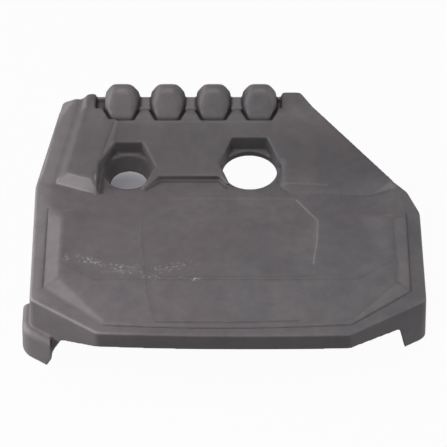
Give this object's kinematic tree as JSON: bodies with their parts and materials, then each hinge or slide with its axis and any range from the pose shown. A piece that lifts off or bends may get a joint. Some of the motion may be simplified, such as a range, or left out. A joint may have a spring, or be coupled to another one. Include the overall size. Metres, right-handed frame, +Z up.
{
  "type": "engine cover",
  "caption": "Low moulded engine cover: raised front panel with a shallow dish, ramped rear deck with a row of rounded humps, filler opening, funnel opening and push-on stud sockets below.",
  "frame": {"origin": "middle of the overall box, on the ground plane at the tip of the left foot", "axes": "+X to the viewer's right across the cover, +Y to the rear where the row of humps stands, +Z up"},
  "size_m": [0.5651, 0.4683, 0.164],
  "materials": {
    "moulded_foam": "matte, faintly grained skin",
    "grommet_rubber": "matte"
  },
  "bodies": {
    "root": {"cover": "moulded_foam", "grommets": "grommet_rubber"}
  },
  "joints": []
}
